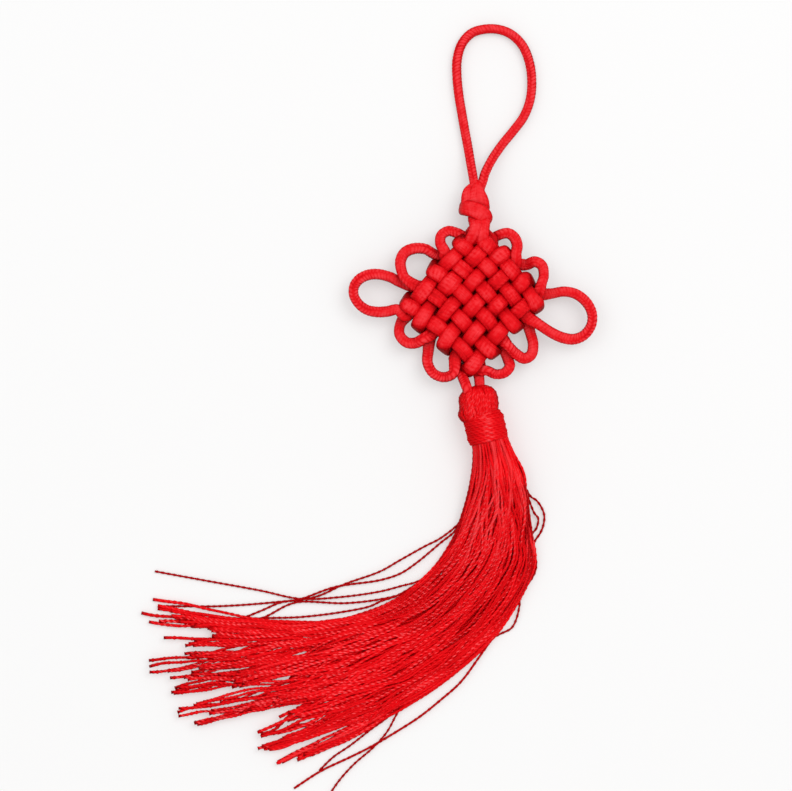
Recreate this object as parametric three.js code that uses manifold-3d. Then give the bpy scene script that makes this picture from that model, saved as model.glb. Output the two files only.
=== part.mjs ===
// A knotted cord pendant with a silk tassel, lying on a table and seen from above.
// Millimetres, +Z up, +Y towards the hanging loop. The knot's centre is the origin of the tables
// below; at the end the pendant is moved so that the table under the middle of it is the origin.
import * as THREE from "three";
import { mergeVertices } from "three/addons/utils/BufferGeometryUtils.js";
import Module from "manifold-3d";

// The cord: round where it is free, pressed flat where it is woven.
const loopCordWidth = 2.0;
const earCordWidth = 2.3;
const wovenHalfWidth = 1.32;
const wovenHalfThickness = 0.84;
const cordSides = 6;
const cordStep = 2.3;
const levelEnough = 0.3;

// The weave: six lines each way, every line a front strand and a back strand.
const lineCount = 6;
const middleLine = (lineCount + 1) / 2;
const middleHeight = 3.7;
const innerLayer = 1.0;
const outerLayer = 2.96;
const acrossStep = { x: 2.815, y: 3.107 };
const downStep = { x: 2.705, y: -2.716 };
const weaveCentre = { x: 0.08, y: 0.92 };
const weaveSkew = { x: -0.064, y: -0.081 };
const weaveDroop = { x: -0.012, y: -0.158 };
const openEndReach = 0.45;
const wrapShoulder = { reach: 0.36, height: 2.6 };
const wrapReach = 0.62;
const earClimb = 1.25;

// The knot above the weave and the two strands that leave it.
const crown = { x: 1.15, y: 20.5, height: 8.6, halfWidth: 3.55, halfThickness: 3.3, slope: 0.25, wraps: 4 };
const crownWrapDepth = 0.55;
const crownRowsPerWrap = 4;
const crownSegments = 16;
const crownRounding = { cut: 0.06, power: 0.35 };
const leftLeg = [[1.0, 19.0, 3.7], [0.1, 15.6, 4.0]];
const rightLeg = [[2.0, 19.0, 3.7], [3.3, 15.4, 2.9]];
const leftTail = [[-4.6, -14.0, 2.6], [-2.2, -18.6, 3.3], [-1.6, -20.1, 3.7]];
const rightTail = [[1.0, -17.2, 3.0], [1.25, -18.6, 3.4], [1.35, -19.95, 3.7]];

// Each ear is a round loop of cord between two lines, given by the middle of its cord.
const ears = {
  topLeft: [[-3.7, 14.8], [-6.7, 14.6], [-7.2, 11.3]],
  upperLeft: [[-8.8, 9.7], [-13.4, 10.9], [-16.6, 8.3], [-15.7, 4.0]],
  leftCorner: [[-16.8, 3.4], [-21.9, 5.4], [-26.0, 4.2], [-27.4, 0.5], [-24.4, -2.9], [-19.8, -3.5]],
  lowerLeft: [[-16.6, -6.1], [-16.6, -9.4], [-13.6, -10.6]],
  bottomLeft: [[-10.4, -13.0], [-10.2, -16.3], [-7.2, -18.4]],
  topRight: [[6.2, 14.6], [9.2, 13.8], [9.7, 10.9]],
  upperRight: [[12.4, 7.4], [15.4, 7.0], [15.6, 3.5]],
  rightCorner: [[18.1, 0.8], [23.4, 0.5], [26.9, -3.6], [25.5, -8.4], [20.4, -9.4], [15.4, -6.7]],
  lowerRight: [[13.1, -8.2], [13.5, -12.1], [11.0, -14.0], [8.0, -11.7]],
  bottomRight: [[7.9, -14.0], [8.0, -16.7], [5.2, -17.6]],
};

// The order in which each half of the cord runs through the weave.
const leftHalf = [
  ["falling", 6], "topLeft", ["falling", 4], "upperLeft", ["falling", 2], "leftCorner",
  ["rising", 1], "lowerLeft", ["rising", 3], "bottomLeft", ["rising", 5],
];
const rightHalf = [
  ["rising", 2], "topRight", ["rising", 4], "upperRight", ["rising", 6], "rightCorner",
  ["falling", 5], "lowerRight", ["falling", 3], "bottomRight", ["falling", 1],
];

// The hanging loop, from the left of the crown knot round to its right.
const loopRoute = [
  [-0.15, 25.3, 3.6], [-0.2, 27.4, 3.4], [-0.6, 30.4, 2.2], [-1.2, 34.2, 1.15], [-1.9, 38.0, 1.0],
  [-2.6, 42.0, 1.0], [-3.3, 46.2, 1.0], [-3.75, 50.6, 1.0], [-3.7, 54.6, 1.0], [-2.6, 58.2, 1.0],
  [-0.4, 60.6, 1.0], [2.4, 61.5, 1.0], [5.6, 61.5, 1.0], [8.6, 60.4, 1.0], [11.2, 57.9, 1.0],
  [12.8, 54.2, 1.0], [13.4, 50.2, 1.0], [13.1, 45.6, 1.0], [11.6, 41.5, 1.0], [9.2, 38.2, 1.0],
  [6.6, 35.0, 1.15], [4.3, 31.6, 2.0], [2.6, 28.2, 3.3], [2.15, 25.3, 3.6],
];
const loopSides = 8;
const loopSteps = 40;

// The tassel: a domed head, a narrow neck under the binding, a collar and the strands.
const head = { x: 0.55, y: -20.65, tilt: (13 * Math.PI) / 180, height: 3.9 };
const domeLength = 6.7;
const domeRadius = 4.5;
const domeCap = 3.7;
const domeRings = 6;
const domeFoot = { along: 5.4, footRadius: 3.85 };
const neckRadius = 3.3;
const neckEnd = 13.1;
const collarRadius = 4.05;
const collarEnd = 15.0;
const collarBevel = 0.35;
const headSegments = 20;
const seatGap = 0.3;
const bindingRadius = 4.2;
const bindingTurns = 6;
const bindingTurnDepth = 0.22;

// Guides of the strands, from the inner edge of the bend to the outer one: share is the place
// across the tassel, and the stations run from the neck to the tips. The last two lines leave a gap.
const guides = [
  { share: 0.0, route: [[-0.1, -34.1], [-0.7, -42.5], [-3.3, -51.9], [-7.4, -60.2], [-15.7, -67.3],
    [-26.0, -71.9], [-39.8, -73.6], [-54.8, -73.4], [-72.0, -71.6]] },
  { share: 0.33, route: [[2.6, -33.7], [3.6, -42.7], [2.5, -51.7], [-0.5, -60.9], [-7.4, -68.9],
    [-16.8, -75.1], [-31.8, -79.5], [-48.6, -79.5], [-69.3, -79.3]] },
  { share: 0.7, route: [[5.6, -33.3], [8.2, -43.2], [8.7, -51.5], [7.1, -61.3], [1.3, -70.8],
    [-7.2, -79.3], [-20.3, -87.3], [-37.5, -92.6], [-63.5, -97.7]] },
  { share: 0.76, route: [[6.1, -33.2], [9.2, -43.2], [9.9, -51.4], [8.6, -61.4], [2.7, -71.2],
    [-5.6, -80.0], [-18.9, -88.6], [-33.4, -94.2], [-46.6, -97.2]] },
  { share: 1.0, route: [[8.0, -32.8], [12.4, -43.2], [13.6, -51.2], [13.8, -61.6], [9.4, -71.5],
    [1.8, -81.8], [-10.1, -91.5], [-22.6, -98.3], [-39.2, -105.6]] },
];
// One column of stacked strands per row of the table, from the inner edge to the outer one.
const columns = [
  { share: 0.04, layers: 1 }, { share: 0.12, layers: 4 }, { share: 0.22, layers: 5 },
  { share: 0.33, layers: 5 }, { share: 0.45, layers: 5 }, { share: 0.57, layers: 5 },
  { share: 0.69, layers: 0 }, { share: 0.77, layers: 5 }, { share: 0.88, layers: 4 },
  { share: 0.98, layers: 0 },
];
const strandWidth = 0.84;
const strandRest = strandWidth / 4;
const flatSideDown = 0.75;
const strandSteps = 15;
const neckLayerPitch = 1.45;
const floorLayerPitch = 0.86;
const pitchSettlesBy = 3;
const bundleSinksBy = 2.5;
const spreadBy = 6.5;
const spreadPower = 1.3;
const tipStation = 7.55;
const tipUnevenness = 0.42;
const strayStep = 0.8;

// Single strands that leave the bundle: the station where each one leaves, and its way from there.
const strays = [
  { root: 0.04, share: -0.045, height: 5.35, leaves: 1.7,
    route: [[-7.0, -55.3], [-15.6, -60.0], [-29.5, -66.0], [-40.5, -68.9], [-54.0, -66.6], [-73.2, -63.0]] },
  { root: 0.04, share: -0.03, height: 2.45, leaves: 3.3,
    route: [[-21.4, -67.6], [-33.2, -69.4], [-50.2, -70.9], [-72.0, -70.6]] },
  { root: 0.93, share: 1.03, height: 3.9, leaves: 5.1,
    route: [[-7.6, -92.6], [-17.0, -99.3], [-21.6, -102.2], [-27.2, -107.2], [-34.0, -115.4]] },
  { root: 0.93, share: 1.01, height: 2.4, leaves: 6.3,
    route: [[-21.2, -100.4], [-28.4, -105.7], [-35.2, -109.0], [-41.2, -112.9]] },
];

const colours = { cord: 0xd6131f, loop: 0xdb1724, tassel: 0xcf0f1c, binding: 0xc40d19 };
const wasm = await Module();
wasm.setup();

const mix = (from, to, share) => from + (to - from) * share;
const clamp01 = (value) => Math.min(1, Math.max(0, value));

// A closed tube: a flattened ring carried along the stations, its width kept level.
function sweep(stations, sides) {
  const up = new THREE.Vector3(0, 0, 1);
  const points = [];
  const faces = [];
  let side = null;
  stations.forEach((station, i) => {
    const before = stations[Math.max(i - 1, 0)].at;
    const after = stations[Math.min(i + 1, stations.length - 1)].at;
    const along = after.clone().sub(before).normalize();
    const level = new THREE.Vector3().crossVectors(up, along);
    if (level.length() < levelEnough) level.copy(side).projectOnPlane(along);
    if (side && level.dot(side) < 0) level.negate();
    side = level.normalize();
    const normal = new THREE.Vector3().crossVectors(along, side);
    for (let j = 0; j < sides; j++) {
      const angle = (2 * Math.PI * (j + (station.turn ?? 0))) / sides;
      const point = station.at.clone()
        .addScaledVector(side, station.halfWidth * Math.cos(angle))
        .addScaledVector(normal, station.halfThickness * Math.sin(angle));
      points.push(point.x, point.y, Math.max(point.z, 0));
    }
  });
  for (let i = 0; i + 1 < stations.length; i++) {
    for (let j = 0; j < sides; j++) {
      const a = i * sides + j;
      const b = i * sides + ((j + 1) % sides);
      faces.push(a, b, b + sides, a, b + sides, a + sides);
    }
  }
  const last = (stations.length - 1) * sides;
  for (let j = 1; j + 1 < sides; j++) faces.push(0, j + 1, j, last, last + j, last + j + 1);
  return meshOf(new Float32Array(points), new Uint32Array(faces));
}

function meshOf(points, faces) {
  const geometry = new THREE.BufferGeometry();
  geometry.setAttribute("position", new THREE.BufferAttribute(points, 3));
  geometry.setIndex(new THREE.BufferAttribute(faces, 1));
  return geometry;
}

// One solid of several that run into each other.
function fuse(geometries) {
  const solids = geometries.map((geometry) => {
    geometry.deleteAttribute("normal");
    geometry.deleteAttribute("uv");
    const merged = mergeVertices(geometry, 1e-4);
    return new wasm.Manifold(new wasm.Mesh({
      numProp: 3,
      vertProperties: Float32Array.from(merged.attributes.position.array),
      triVerts: Uint32Array.from(merged.index.array),
    }));
  });
  const whole = solids.reduce((sum, solid) => sum.add(solid)).getMesh();
  return meshOf(Float32Array.from(whole.vertProperties), Uint32Array.from(whole.triVerts));
}

// Where line `across` of the rising strands' crossings meets line `down` of the falling ones.
function weavePoint(across, down, height) {
  const u = across - middleLine;
  const v = down - middleLine;
  const bow = u * u + v * v;
  return new THREE.Vector3(
    weaveCentre.x + u * acrossStep.x + v * downStep.x + u * v * weaveSkew.x + bow * weaveDroop.x,
    weaveCentre.y + u * acrossStep.y + v * downStep.y + u * v * weaveSkew.y + bow * weaveDroop.y,
    middleHeight + height,
  );
}

// One line of the weave: in on the front, round the far edge, and back behind.
function linePoints(family, line) {
  const falling = family === "falling";
  const wrapsAtStart = falling ? line % 2 === 1 : line % 2 === 0;
  const crossings = [...Array(lineCount).keys()].map((i) => (wrapsAtStart ? lineCount - i : i + 1));
  const outward = wrapsAtStart ? -1 : 1;
  const place = (crossing, height) =>
    falling ? weavePoint(line, crossing, height) : weavePoint(crossing, line, height);
  const layer = (crossing) => ((line + crossing) % 2 === (falling ? 0 : 1) ? outerLayer : innerLayer);
  const flat = (at) => ({ at, halfWidth: wovenHalfWidth, halfThickness: wovenHalfThickness });
  const last = crossings[lineCount - 1];
  const start = crossings[0] - outward * openEndReach;
  const shoulder = last + outward * wrapShoulder.reach;
  return [
    flat(place(start, innerLayer)),
    ...crossings.map((crossing) => flat(place(crossing, layer(crossing)))),
    flat(place(shoulder, wrapShoulder.height)),
    flat(place(last + outward * wrapReach, 0)),
    flat(place(shoulder, -wrapShoulder.height)),
    ...[...crossings].reverse().map((crossing) => flat(place(crossing, -layer(crossing)))),
    flat(place(start, -innerLayer)),
  ];
}

// The free cord of an ear, which climbs from the back of one line to the front of the next.
function earPoints(name) {
  const route = ears[name];
  return route.map(([x, y], i) => {
    const height = middleHeight + mix(-earClimb, earClimb, i / (route.length - 1));
    return roundPoint(x, y, height);
  });
}

function roundPoint(x, y, z) {
  return { at: new THREE.Vector3(x, y, z), halfWidth: earCordWidth / 2, halfThickness: earCordWidth / 2 };
}

const freePoints = (route) => route.map((point) => roundPoint(...point));

// Half of the knotted cord as one smooth tube.
function cordHalf(leg, order, tail) {
  const woven = order.flatMap((item) => (typeof item === "string" ? earPoints(item) : linePoints(...item)));
  const points = [...freePoints(leg), ...woven, ...freePoints(tail)];
  const curve = new THREE.CatmullRomCurve3(points.map((point) => point.at), false, "centripetal");
  const stations = [points[0]];
  for (let i = 1; i < points.length; i++) {
    const from = points[i - 1];
    const to = points[i];
    const steps = Math.max(1, Math.round(from.at.distanceTo(to.at) / cordStep));
    for (let k = 1; k <= steps; k++) {
      stations.push({
        at: curve.getPoint((i - 1 + k / steps) / (points.length - 1)),
        halfWidth: mix(from.halfWidth, to.halfWidth, k / steps),
        halfThickness: mix(from.halfThickness, to.halfThickness, k / steps),
      });
    }
  }
  return sweep(stations, cordSides);
}

// The crown knot: rounded wraps one above the other, which slope down to the right.
function crownKnot() {
  const rows = crown.wraps * crownRowsPerWrap;
  const { cut, power } = crownRounding;
  const profile = [];
  for (let i = 0; i <= rows; i++) {
    const share = i / rows;
    const barrel = Math.pow(Math.sin(Math.PI * mix(cut, 1 - cut, share)), power);
    const valley = Math.abs(Math.cos(Math.PI * crown.wraps * share));
    const radius = crown.halfWidth * barrel - crownWrapDepth * valley;
    profile.push(new THREE.Vector2(radius, (share - 0.5) * crown.height));
  }
  profile.unshift(new THREE.Vector2(0, -crown.height / 2));
  profile.push(new THREE.Vector2(0, crown.height / 2));
  const geometry = new THREE.LatheGeometry(profile, crownSegments);
  const place = geometry.attributes.position;
  for (let i = 0; i < place.count; i++) {
    const x = place.getX(i);
    const y = place.getY(i) - crown.slope * x;
    const z = (place.getZ(i) * crown.halfThickness) / crown.halfWidth;
    place.setXYZ(i, crown.x + x, crown.y + y, Math.max(0, middleHeight + z));
  }
  return geometry;
}

function wovenKnot() {
  return fuse([
    crownKnot(),
    cordHalf(leftLeg, leftHalf, leftTail),
    cordHalf(rightLeg, rightHalf, rightTail),
  ]);
}

function hangingLoop() {
  const curve = new THREE.CatmullRomCurve3(loopRoute.map(([x, y, z]) => new THREE.Vector3(x, y, z)));
  const section = new THREE.Shape();
  for (let j = 0; j < loopSides; j++) {
    const angle = (2 * Math.PI * (j + 0.5)) / loopSides;
    const radius = loopCordWidth / 2;
    section[j ? "lineTo" : "moveTo"](radius * Math.cos(angle), radius * Math.sin(angle));
  }
  return new THREE.ExtrudeGeometry(section, { steps: loopSteps, extrudePath: curve, bevelEnabled: false });
}

// A shape turned about the head's axis, laid down along it and flat where it meets the table.
function turned(profile) {
  const geometry = new THREE.LatheGeometry(profile.map(([r, s]) => new THREE.Vector2(r, -s)), headSegments);
  geometry.rotateZ(head.tilt);
  geometry.translate(head.x, head.y, head.height);
  const place = geometry.attributes.position;
  for (let i = 0; i < place.count; i++) place.setZ(i, Math.max(0, place.getZ(i)));
  return geometry;
}

function tasselHead() {
  const profile = [
    [0, collarEnd], [collarRadius - collarBevel, collarEnd], [collarRadius, collarEnd - collarBevel],
    [collarRadius, neckEnd], [neckRadius, neckEnd], [neckRadius, domeLength],
    [domeFoot.footRadius, domeLength], [domeRadius, domeFoot.along],
  ];
  for (let i = 0; i <= domeRings; i++) {
    const angle = (i / domeRings) * (Math.PI / 2);
    profile.push([domeRadius * Math.cos(angle), domeCap * (1 - Math.sin(angle))]);
  }
  return turned(profile);
}

// The binding: close turns of thread in one band around the neck.
function neckBinding() {
  const from = domeLength + seatGap;
  const to = neckEnd - seatGap;
  const inner = neckRadius + seatGap;
  const profile = [[inner, to]];
  for (let i = 0; i <= bindingTurns * 2; i++) {
    const valley = i % 2 === 0 ? bindingTurnDepth : 0;
    profile.push([bindingRadius - valley, mix(to, from, i / (bindingTurns * 2))]);
  }
  profile.push([inner, from], [inner, to]);
  return turned(profile);
}

// The place across the table at a station, between the guides on either side of the share.
function guidePoint(share, station) {
  const right = Math.max(1, guides.findIndex((guide) => guide.share >= share));
  const next = share > 1 ? guides[guides.length - 1] : guides[right];
  const previous = share > 1 ? guides[guides.length - 2] : guides[right - 1];
  const between = (share - previous.share) / (next.share - previous.share);
  return guideCurve(previous, station).lerp(guideCurve(next, station), between);
}

function guideCurve(guide, station) {
  guide.curve ??= new THREE.CatmullRomCurve3(guide.route.map(([x, y]) => new THREE.Vector3(x, y, 0)));
  return guide.curve.getPoint(clamp01(station / (guide.route.length - 1)));
}

// The tassel's width at a station, square to the way in which the strands run there.
function bundleWidth(station) {
  const reach = 0.2;
  const flow = guidePoint(0.5, station + reach).sub(guidePoint(0.5, station - reach)).normalize();
  return guidePoint(1, station).sub(guidePoint(0, station)).cross(flow).length();
}

// How far the strands of a column have slid off each other and on to the table.
const spreadAt = (station) => Math.pow(clamp01(station / spreadBy), spreadPower);

// A strand of the bundle: its column fans out until its layers lie side by side on the table.
function bundleStrand(column, layer, tip) {
  const { share, layers } = columns[column];
  const room = columns[column + 1].share - share;
  const stations = [];
  for (let i = 0; i <= strandSteps; i++) {
    const station = mix(0, tip, i / strandSteps);
    const spread = spreadAt(station);
    const here = share + (room * spread * layer) / layers;
    const sideways = (bundleWidth(station) * room * spread) / layers;
    const pitch = mix(neckLayerPitch, floorLayerPitch, clamp01(station / pitchSettlesBy));
    const rise = Math.sqrt(Math.max(0, pitch * pitch - sideways * sideways));
    const at = guidePoint(here, station);
    const lowest = head.height - ((layers - 1) / 2) * neckLayerPitch;
    at.z = mix(lowest, strandRest, clamp01(station / bundleSinksBy)) + layer * rise;
    stations.push(strandStation(at));
  }
  return sweep(stations, 3);
}

function strandStation(at) {
  return { at, halfWidth: strandWidth / 2, halfThickness: strandWidth / 2, turn: flatSideDown };
}

function strayStrand({ root, share, height, leaves, route }) {
  const points = [];
  for (let station = 0; station <= leaves; station += strayStep) {
    const at = guidePoint(mix(root, share, clamp01(station)), station);
    at.z = mix(height, strandRest, clamp01(station / leaves));
    points.push(at);
  }
  points.push(...route.map(([x, y]) => new THREE.Vector3(x, y, strandRest)));
  const curve = new THREE.CatmullRomCurve3(points, false, "centripetal");
  const stations = curve.getPoints(strandSteps + 3).map(strandStation);
  return sweep(stations, 3);
}

// The tassel: every strand stands apart from the next and is fused to the head at its root.
function tassel() {
  const strands = [];
  columns.forEach(({ layers }, column) => {
    for (let layer = 0; layer < layers; layer++) {
      const uneven = tipUnevenness * Math.sin(5.1 * column + 2.3 * layer + column * layer);
      strands.push(bundleStrand(column, layer, tipStation + uneven));
    }
  });
  strays.forEach((stray) => strands.push(strayStrand(stray)));
  return fuse([tasselHead(), ...strands]);
}

function named(name, geometry, colour, roughness) {
  const material = new THREE.MeshStandardMaterial({ color: colour, roughness, metalness: 0 });
  const mesh = new THREE.Mesh(geometry, material);
  mesh.name = name;
  return mesh;
}

const group = new THREE.Group();
const knotMesh = named("woven_knot", wovenKnot(), colours.cord, 0.45);
const tasselMesh = named("tassel", tassel(), colours.tassel, 0.5);
const bindingMesh = named("neck_binding", neckBinding(), colours.binding, 0.5);
const loopMesh = named("hanging_loop", hangingLoop(), colours.loop, 0.55);
group.add(knotMesh, tasselMesh, bindingMesh);

// The loop is left out of the middle, so that it doesn't shift the origin.
const middle = new THREE.Box3().setFromObject(group).getCenter(new THREE.Vector3());
group.add(loopMesh);
group.position.set(-middle.x, -middle.y, 0);

export default group;
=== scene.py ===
import math
import bpy
import numpy as np
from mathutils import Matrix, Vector


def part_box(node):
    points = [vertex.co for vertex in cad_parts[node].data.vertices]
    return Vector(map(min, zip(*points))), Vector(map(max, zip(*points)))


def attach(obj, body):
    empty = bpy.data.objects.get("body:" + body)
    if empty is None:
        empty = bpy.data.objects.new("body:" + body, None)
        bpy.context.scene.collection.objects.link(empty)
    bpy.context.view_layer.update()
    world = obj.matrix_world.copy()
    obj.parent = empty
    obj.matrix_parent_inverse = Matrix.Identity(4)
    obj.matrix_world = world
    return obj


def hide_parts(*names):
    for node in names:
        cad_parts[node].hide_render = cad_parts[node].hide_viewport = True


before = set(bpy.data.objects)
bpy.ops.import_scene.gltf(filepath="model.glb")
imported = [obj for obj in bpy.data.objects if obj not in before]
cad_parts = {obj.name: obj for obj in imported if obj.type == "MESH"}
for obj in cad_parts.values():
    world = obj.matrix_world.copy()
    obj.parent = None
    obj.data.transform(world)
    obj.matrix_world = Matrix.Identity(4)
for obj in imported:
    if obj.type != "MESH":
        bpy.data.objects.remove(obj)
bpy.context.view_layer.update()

print("stage: frame loaded")

# Lengths in the dictionaries are millimetres from the knot's centre, as in the part's source.
millimetre = 0.001
aboveTable = 0.02                                       # the undersides lie this far above the table
photo = {"width": 792, "height": 791, "mmPerPixel": 0.23, "knotX": 473.2, "knotY": 297.3}
head = {
    "x": 0.55, "y": -20.65, "tilt": math.radians(13), "height": 4.3,
    "bindingFrom": 7.0, "bindingTo": 12.8,
}
headAxis = np.array([math.sin(head["tilt"]), -math.cos(head["tilt"]), 0.0])
headSide = np.array([math.cos(head["tilt"]), math.sin(head["tilt"]), 0.0])
headUp = np.array([0.0, 0.0, 1.0])
headTop = np.array([head["x"], head["y"], head["height"]])

# The knot's centre in the frame: the binding's box has its middle half way along the binding.
bindingLow, bindingHigh = (np.array(corner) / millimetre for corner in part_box("neck_binding"))
bindingMiddle = headTop + headAxis * (head["bindingFrom"] + head["bindingTo"]) / 2
knotCentre = np.append(((bindingLow + bindingHigh) / 2 - bindingMiddle)[:2], 0.0)


def toFrame(points):
    # points of the tables, moved to the frame and turned into metres
    return (np.asarray(points, float) + knotCentre) * millimetre


def addObject(name, data):
    thing = bpy.data.objects.new(name, data)
    bpy.context.scene.collection.objects.link(thing)
    return thing


# Camera: straight above the table, at the photo's scale where the pendant touches it
view = {"distance": 620.0, "sensor": 36.0, "clipEnd": 10000.0}


def makeCamera():
    wide = photo["width"] * photo["mmPerPixel"]
    middleX = (photo["width"] / 2 - photo["knotX"]) * photo["mmPerPixel"]
    middleY = (photo["knotY"] - photo["height"] / 2) * photo["mmPerPixel"]
    camera = addObject("camera", bpy.data.cameras.new("camera"))
    camera.data.sensor_width = view["sensor"]
    camera.data.lens = view["sensor"] * view["distance"] / wide
    camera.data.clip_end = view["clipEnd"] * millimetre
    camera.location = toFrame([middleX, middleY, view["distance"]])
    bpy.context.scene.camera = camera


makeCamera()
print("stage: camera")


# Materials
noiseDetail = {"mottle": 3.0, "fibre": 2.0}
white = (1, 1, 1, 1)


def nodeMaterial(name):
    material = bpy.data.materials.new(name)
    material.use_nodes = True
    nodes = material.node_tree.nodes
    return material, nodes, material.node_tree.links, nodes["Principled BSDF"]


def satinMaterial(name, finish):
    # the shade attribute, which carries painted shade and painted highlights besides the tone, plus soft
    # noise on Object coordinates and fibre streaks picks the red, from the deep one, painted shade in the
    # furrows, to the light one, a painted highlight on the crests; the fibres are noise drawn out along the
    # UV's length
    material, nodes, links, shader = nodeMaterial(name)

    def noise(vector, scale, detail):
        node = nodes.new("ShaderNodeTexNoise")
        node.inputs["Scale"].default_value = scale
        node.inputs["Detail"].default_value = detail
        links.new(vector, node.inputs["Vector"])
        return node.outputs["Fac"]

    def added(value, factor, base):
        # value x factor + base
        node = nodes.new("ShaderNodeMath")
        node.operation = "MULTIPLY_ADD"
        links.new(value, node.inputs[0])
        node.inputs[1].default_value = factor
        links.new(base, node.inputs[2])
        return node.outputs[0]

    place = nodes.new("ShaderNodeTexCoord")
    shade = nodes.new("ShaderNodeAttribute")
    shade.attribute_name = "shade"
    stretch = nodes.new("ShaderNodeMapping")
    stretch.inputs["Scale"].default_value = finish["fibreScale"]
    links.new(place.outputs["UV"], stretch.inputs["Vector"])
    mottle = noise(place.outputs["Object"], finish["mottleScale"], noiseDetail["mottle"])
    fibre = noise(stretch.outputs["Vector"], 1.0, noiseDetail["fibre"])
    ramp = nodes.new("ShaderNodeValToRGB")
    stops = ramp.color_ramp.elements
    stops.remove(stops[1])
    for number, (position, colour) in enumerate(finish["reds"]):
        stop = stops.new(position) if number else stops[0]
        stop.color = (*colour, 1)
    mottled = added(mottle, finish["mottle"], shade.outputs["Fac"])
    links.new(added(fibre, finish["streak"], mottled), ramp.inputs["Fac"])
    links.new(ramp.outputs["Color"], shader.inputs["Base Color"])
    bump = nodes.new("ShaderNodeBump")
    bump.inputs["Strength"].default_value = finish["fibreStrength"]
    bump.inputs["Distance"].default_value = finish["fibreDepth"] * millimetre
    links.new(fibre, bump.inputs["Height"])
    links.new(bump.outputs["Normal"], shader.inputs["Normal"])
    shader.inputs["Roughness"].default_value = finish["roughness"]
    shader.inputs["Specular IOR Level"].default_value = finish["specular"]
    return material


# the lowest reds serve the painted shade of furrows and sides, the top, pinkish one is a painted highlight
cordFinish = {
    "reds": [(0.0, (0.30, 0.0003, 0.0018)), (0.2, (0.58, 0.0010, 0.004)), (0.5, (0.81, 0.0042, 0.009)),
             (1.0, (1.0, 0.066, 0.078))],
    "mottleScale": 600, "mottle": 0.44, "streak": 0.4,
    "fibreScale": (44, 3.4, 1), "fibreStrength": 0.9, "fibreDepth": 0.25,
    "roughness": 0.40, "specular": 0.06,
}
# the lowest reds serve the painted shade of furrows and sides and the darker strays' own red; the top,
# pinkish one is a painted highlight
yarnFinish = {
    "reds": [(0.0, (0.42, 0.0003, 0.002)), (0.2, (0.68, 0.0009, 0.003)), (0.5, (0.93, 0.0034, 0.008)),
             (1.0, (1.0, 0.085, 0.095))],
    "mottleScale": 300, "mottle": 0.2, "streak": 0.15,
    "fibreScale": (9, 14, 1), "fibreStrength": 0.4, "fibreDepth": 0.05,
    "roughness": 0.38, "specular": 0.06,
}
cordMaterial = satinMaterial("satin cord", cordFinish)
yarnMaterial = satinMaterial("silk yarn", yarnFinish)
threadMaterial = satinMaterial("binding thread", dict(yarnFinish, roughness=0.46))


# Curves and tubes
fullTurn = 2 * math.pi
anyPhase = (0, 6)                                       # random phases lie between these
fineSteps = 24                                          # samples to a stretch before the even ones
evenStep = 0.1
firmLevel = 0.6                                         # a path at least this level has a firm side
uvLength = 10.0                                         # millimetres along a cord to one unit of its UV


def smoothPath(points, step, slack=None):
    # a centripetal Catmull-Rom curve: every stretch is sampled finely by the three-level blend
    # of its four points, then again at even steps, longer by 1 + slack where a slack is given;
    # returns the samples, their place in the table and their distance from the start
    points = np.asarray(points, float)
    ends = np.vstack([2 * points[0] - points[1], points, 2 * points[-1] - points[-2]])
    gaps = np.sqrt(np.linalg.norm(np.diff(ends, axis=0), axis=1)) + 1e-9
    knots = np.concatenate([[0.0], np.cumsum(gaps)])
    share = np.linspace(0, 1, fineSteps, endpoint=False)
    k0, k1, k2, k3 = (knots[i:len(knots) - 3 + i][:, None, None] for i in range(4))
    p0, p1, p2, p3 = (ends[i:len(ends) - 3 + i][:, None, :] for i in range(4))
    t = k1 + (k2 - k1) * share[None, :, None]
    a1 = (k1 - t) / (k1 - k0) * p0 + (t - k0) / (k1 - k0) * p1
    a2 = (k2 - t) / (k2 - k1) * p1 + (t - k1) / (k2 - k1) * p2
    a3 = (k3 - t) / (k3 - k2) * p2 + (t - k2) / (k3 - k2) * p3
    b1 = (k2 - t) / (k2 - k0) * a1 + (t - k0) / (k2 - k0) * a2
    b2 = (k3 - t) / (k3 - k1) * a2 + (t - k1) / (k3 - k1) * a3
    fine = ((k2 - t) / (k2 - k1) * b1 + (t - k1) / (k2 - k1) * b2).reshape(-1, 3)
    fine = np.vstack([fine, points[-1]])
    place = np.append((np.arange(len(points) - 1)[:, None] + share).ravel(), len(points) - 1.0)
    length = np.concatenate([[0.0], np.cumsum(np.linalg.norm(np.diff(fine, axis=0), axis=1))])
    scale = np.ones(len(place)) if slack is None else 1 + np.interp(place, np.arange(len(points)), slack)
    count = np.concatenate([[0.0], np.cumsum(np.diff(length) / (step * (scale[1:] + scale[:-1]) / 2))])
    even = np.interp(np.linspace(0, count[-1], int(round(count[-1])) + 2), count, length)
    samples = np.stack([np.interp(even, length, fine[:, i]) for i in range(3)], axis=1)
    return samples, np.interp(even, length, place), even


def evenPaths(routes, samples):
    # every route as a smooth curve with the same number of samples; a row's further columns, such
    # as a width, are blended from one row of the table to the next
    paths, further = [], []
    for route in routes:
        rows = np.asarray(route, float)
        fine, place, lengths = smoothPath(rows[:, :3], evenStep)
        every = np.arange(len(fine))
        spot = np.linspace(0, len(fine) - 1, samples)
        paths.append(np.stack([np.interp(spot, every, fine[:, i]) for i in range(3)], axis=1))
        row = np.interp(spot, every, place)
        further.append([np.interp(row, np.arange(len(rows)), column) for column in rows.T[3:]])
    return np.array(paths), np.array(further)


def pathLengths(paths):
    # the distance of every sample from the start of its path
    steps = np.linalg.norm(np.diff(paths, axis=1), axis=2)
    return np.concatenate([np.zeros((len(paths), 1)), np.cumsum(steps, axis=1)], axis=1)


def wave(lengths, size, period, phase=0.0):
    # size x sin(length / period + phase)
    return size * np.sin(lengths / period + phase)


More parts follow.
